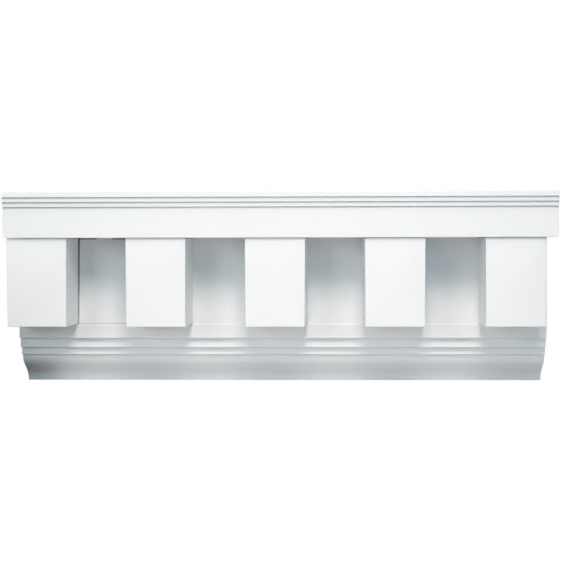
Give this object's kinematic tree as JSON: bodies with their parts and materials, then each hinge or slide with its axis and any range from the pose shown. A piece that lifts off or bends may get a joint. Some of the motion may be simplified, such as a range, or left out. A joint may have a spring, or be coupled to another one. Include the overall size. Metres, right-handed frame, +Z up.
{
  "type": "dentil moulding",
  "caption": "Straight dentil moulding: a stepped crown strip over a row of square blocks on a back board, with a stepped and curved bed moulding below.",
  "frame": {"origin": "on the flat back face, at half the length and half the height of the run", "axes": "+X along the run to the right as seen from the front, +Y out of the back into the wall, +Z up"},
  "size_m": [0.7042, 0.141, 0.2514],
  "materials": {
    "crown_paint": "satin white paint on planed wood",
    "board_paint": "satin white paint on planed wood",
    "bed_paint": "satin white paint on planed wood",
    "block_paint": "satin white paint on planed wood"
  },
  "bodies": {
    "root": {"crown_strip": "crown_paint", "frieze_board": "board_paint", "bed_moulding": "bed_paint", "dentil_block_1": "block_paint", "dentil_block_2": "block_paint", "dentil_block_3": "block_paint", "dentil_block_4": "block_paint", "dentil_block_5": "block_paint"}
  },
  "joints": []
}
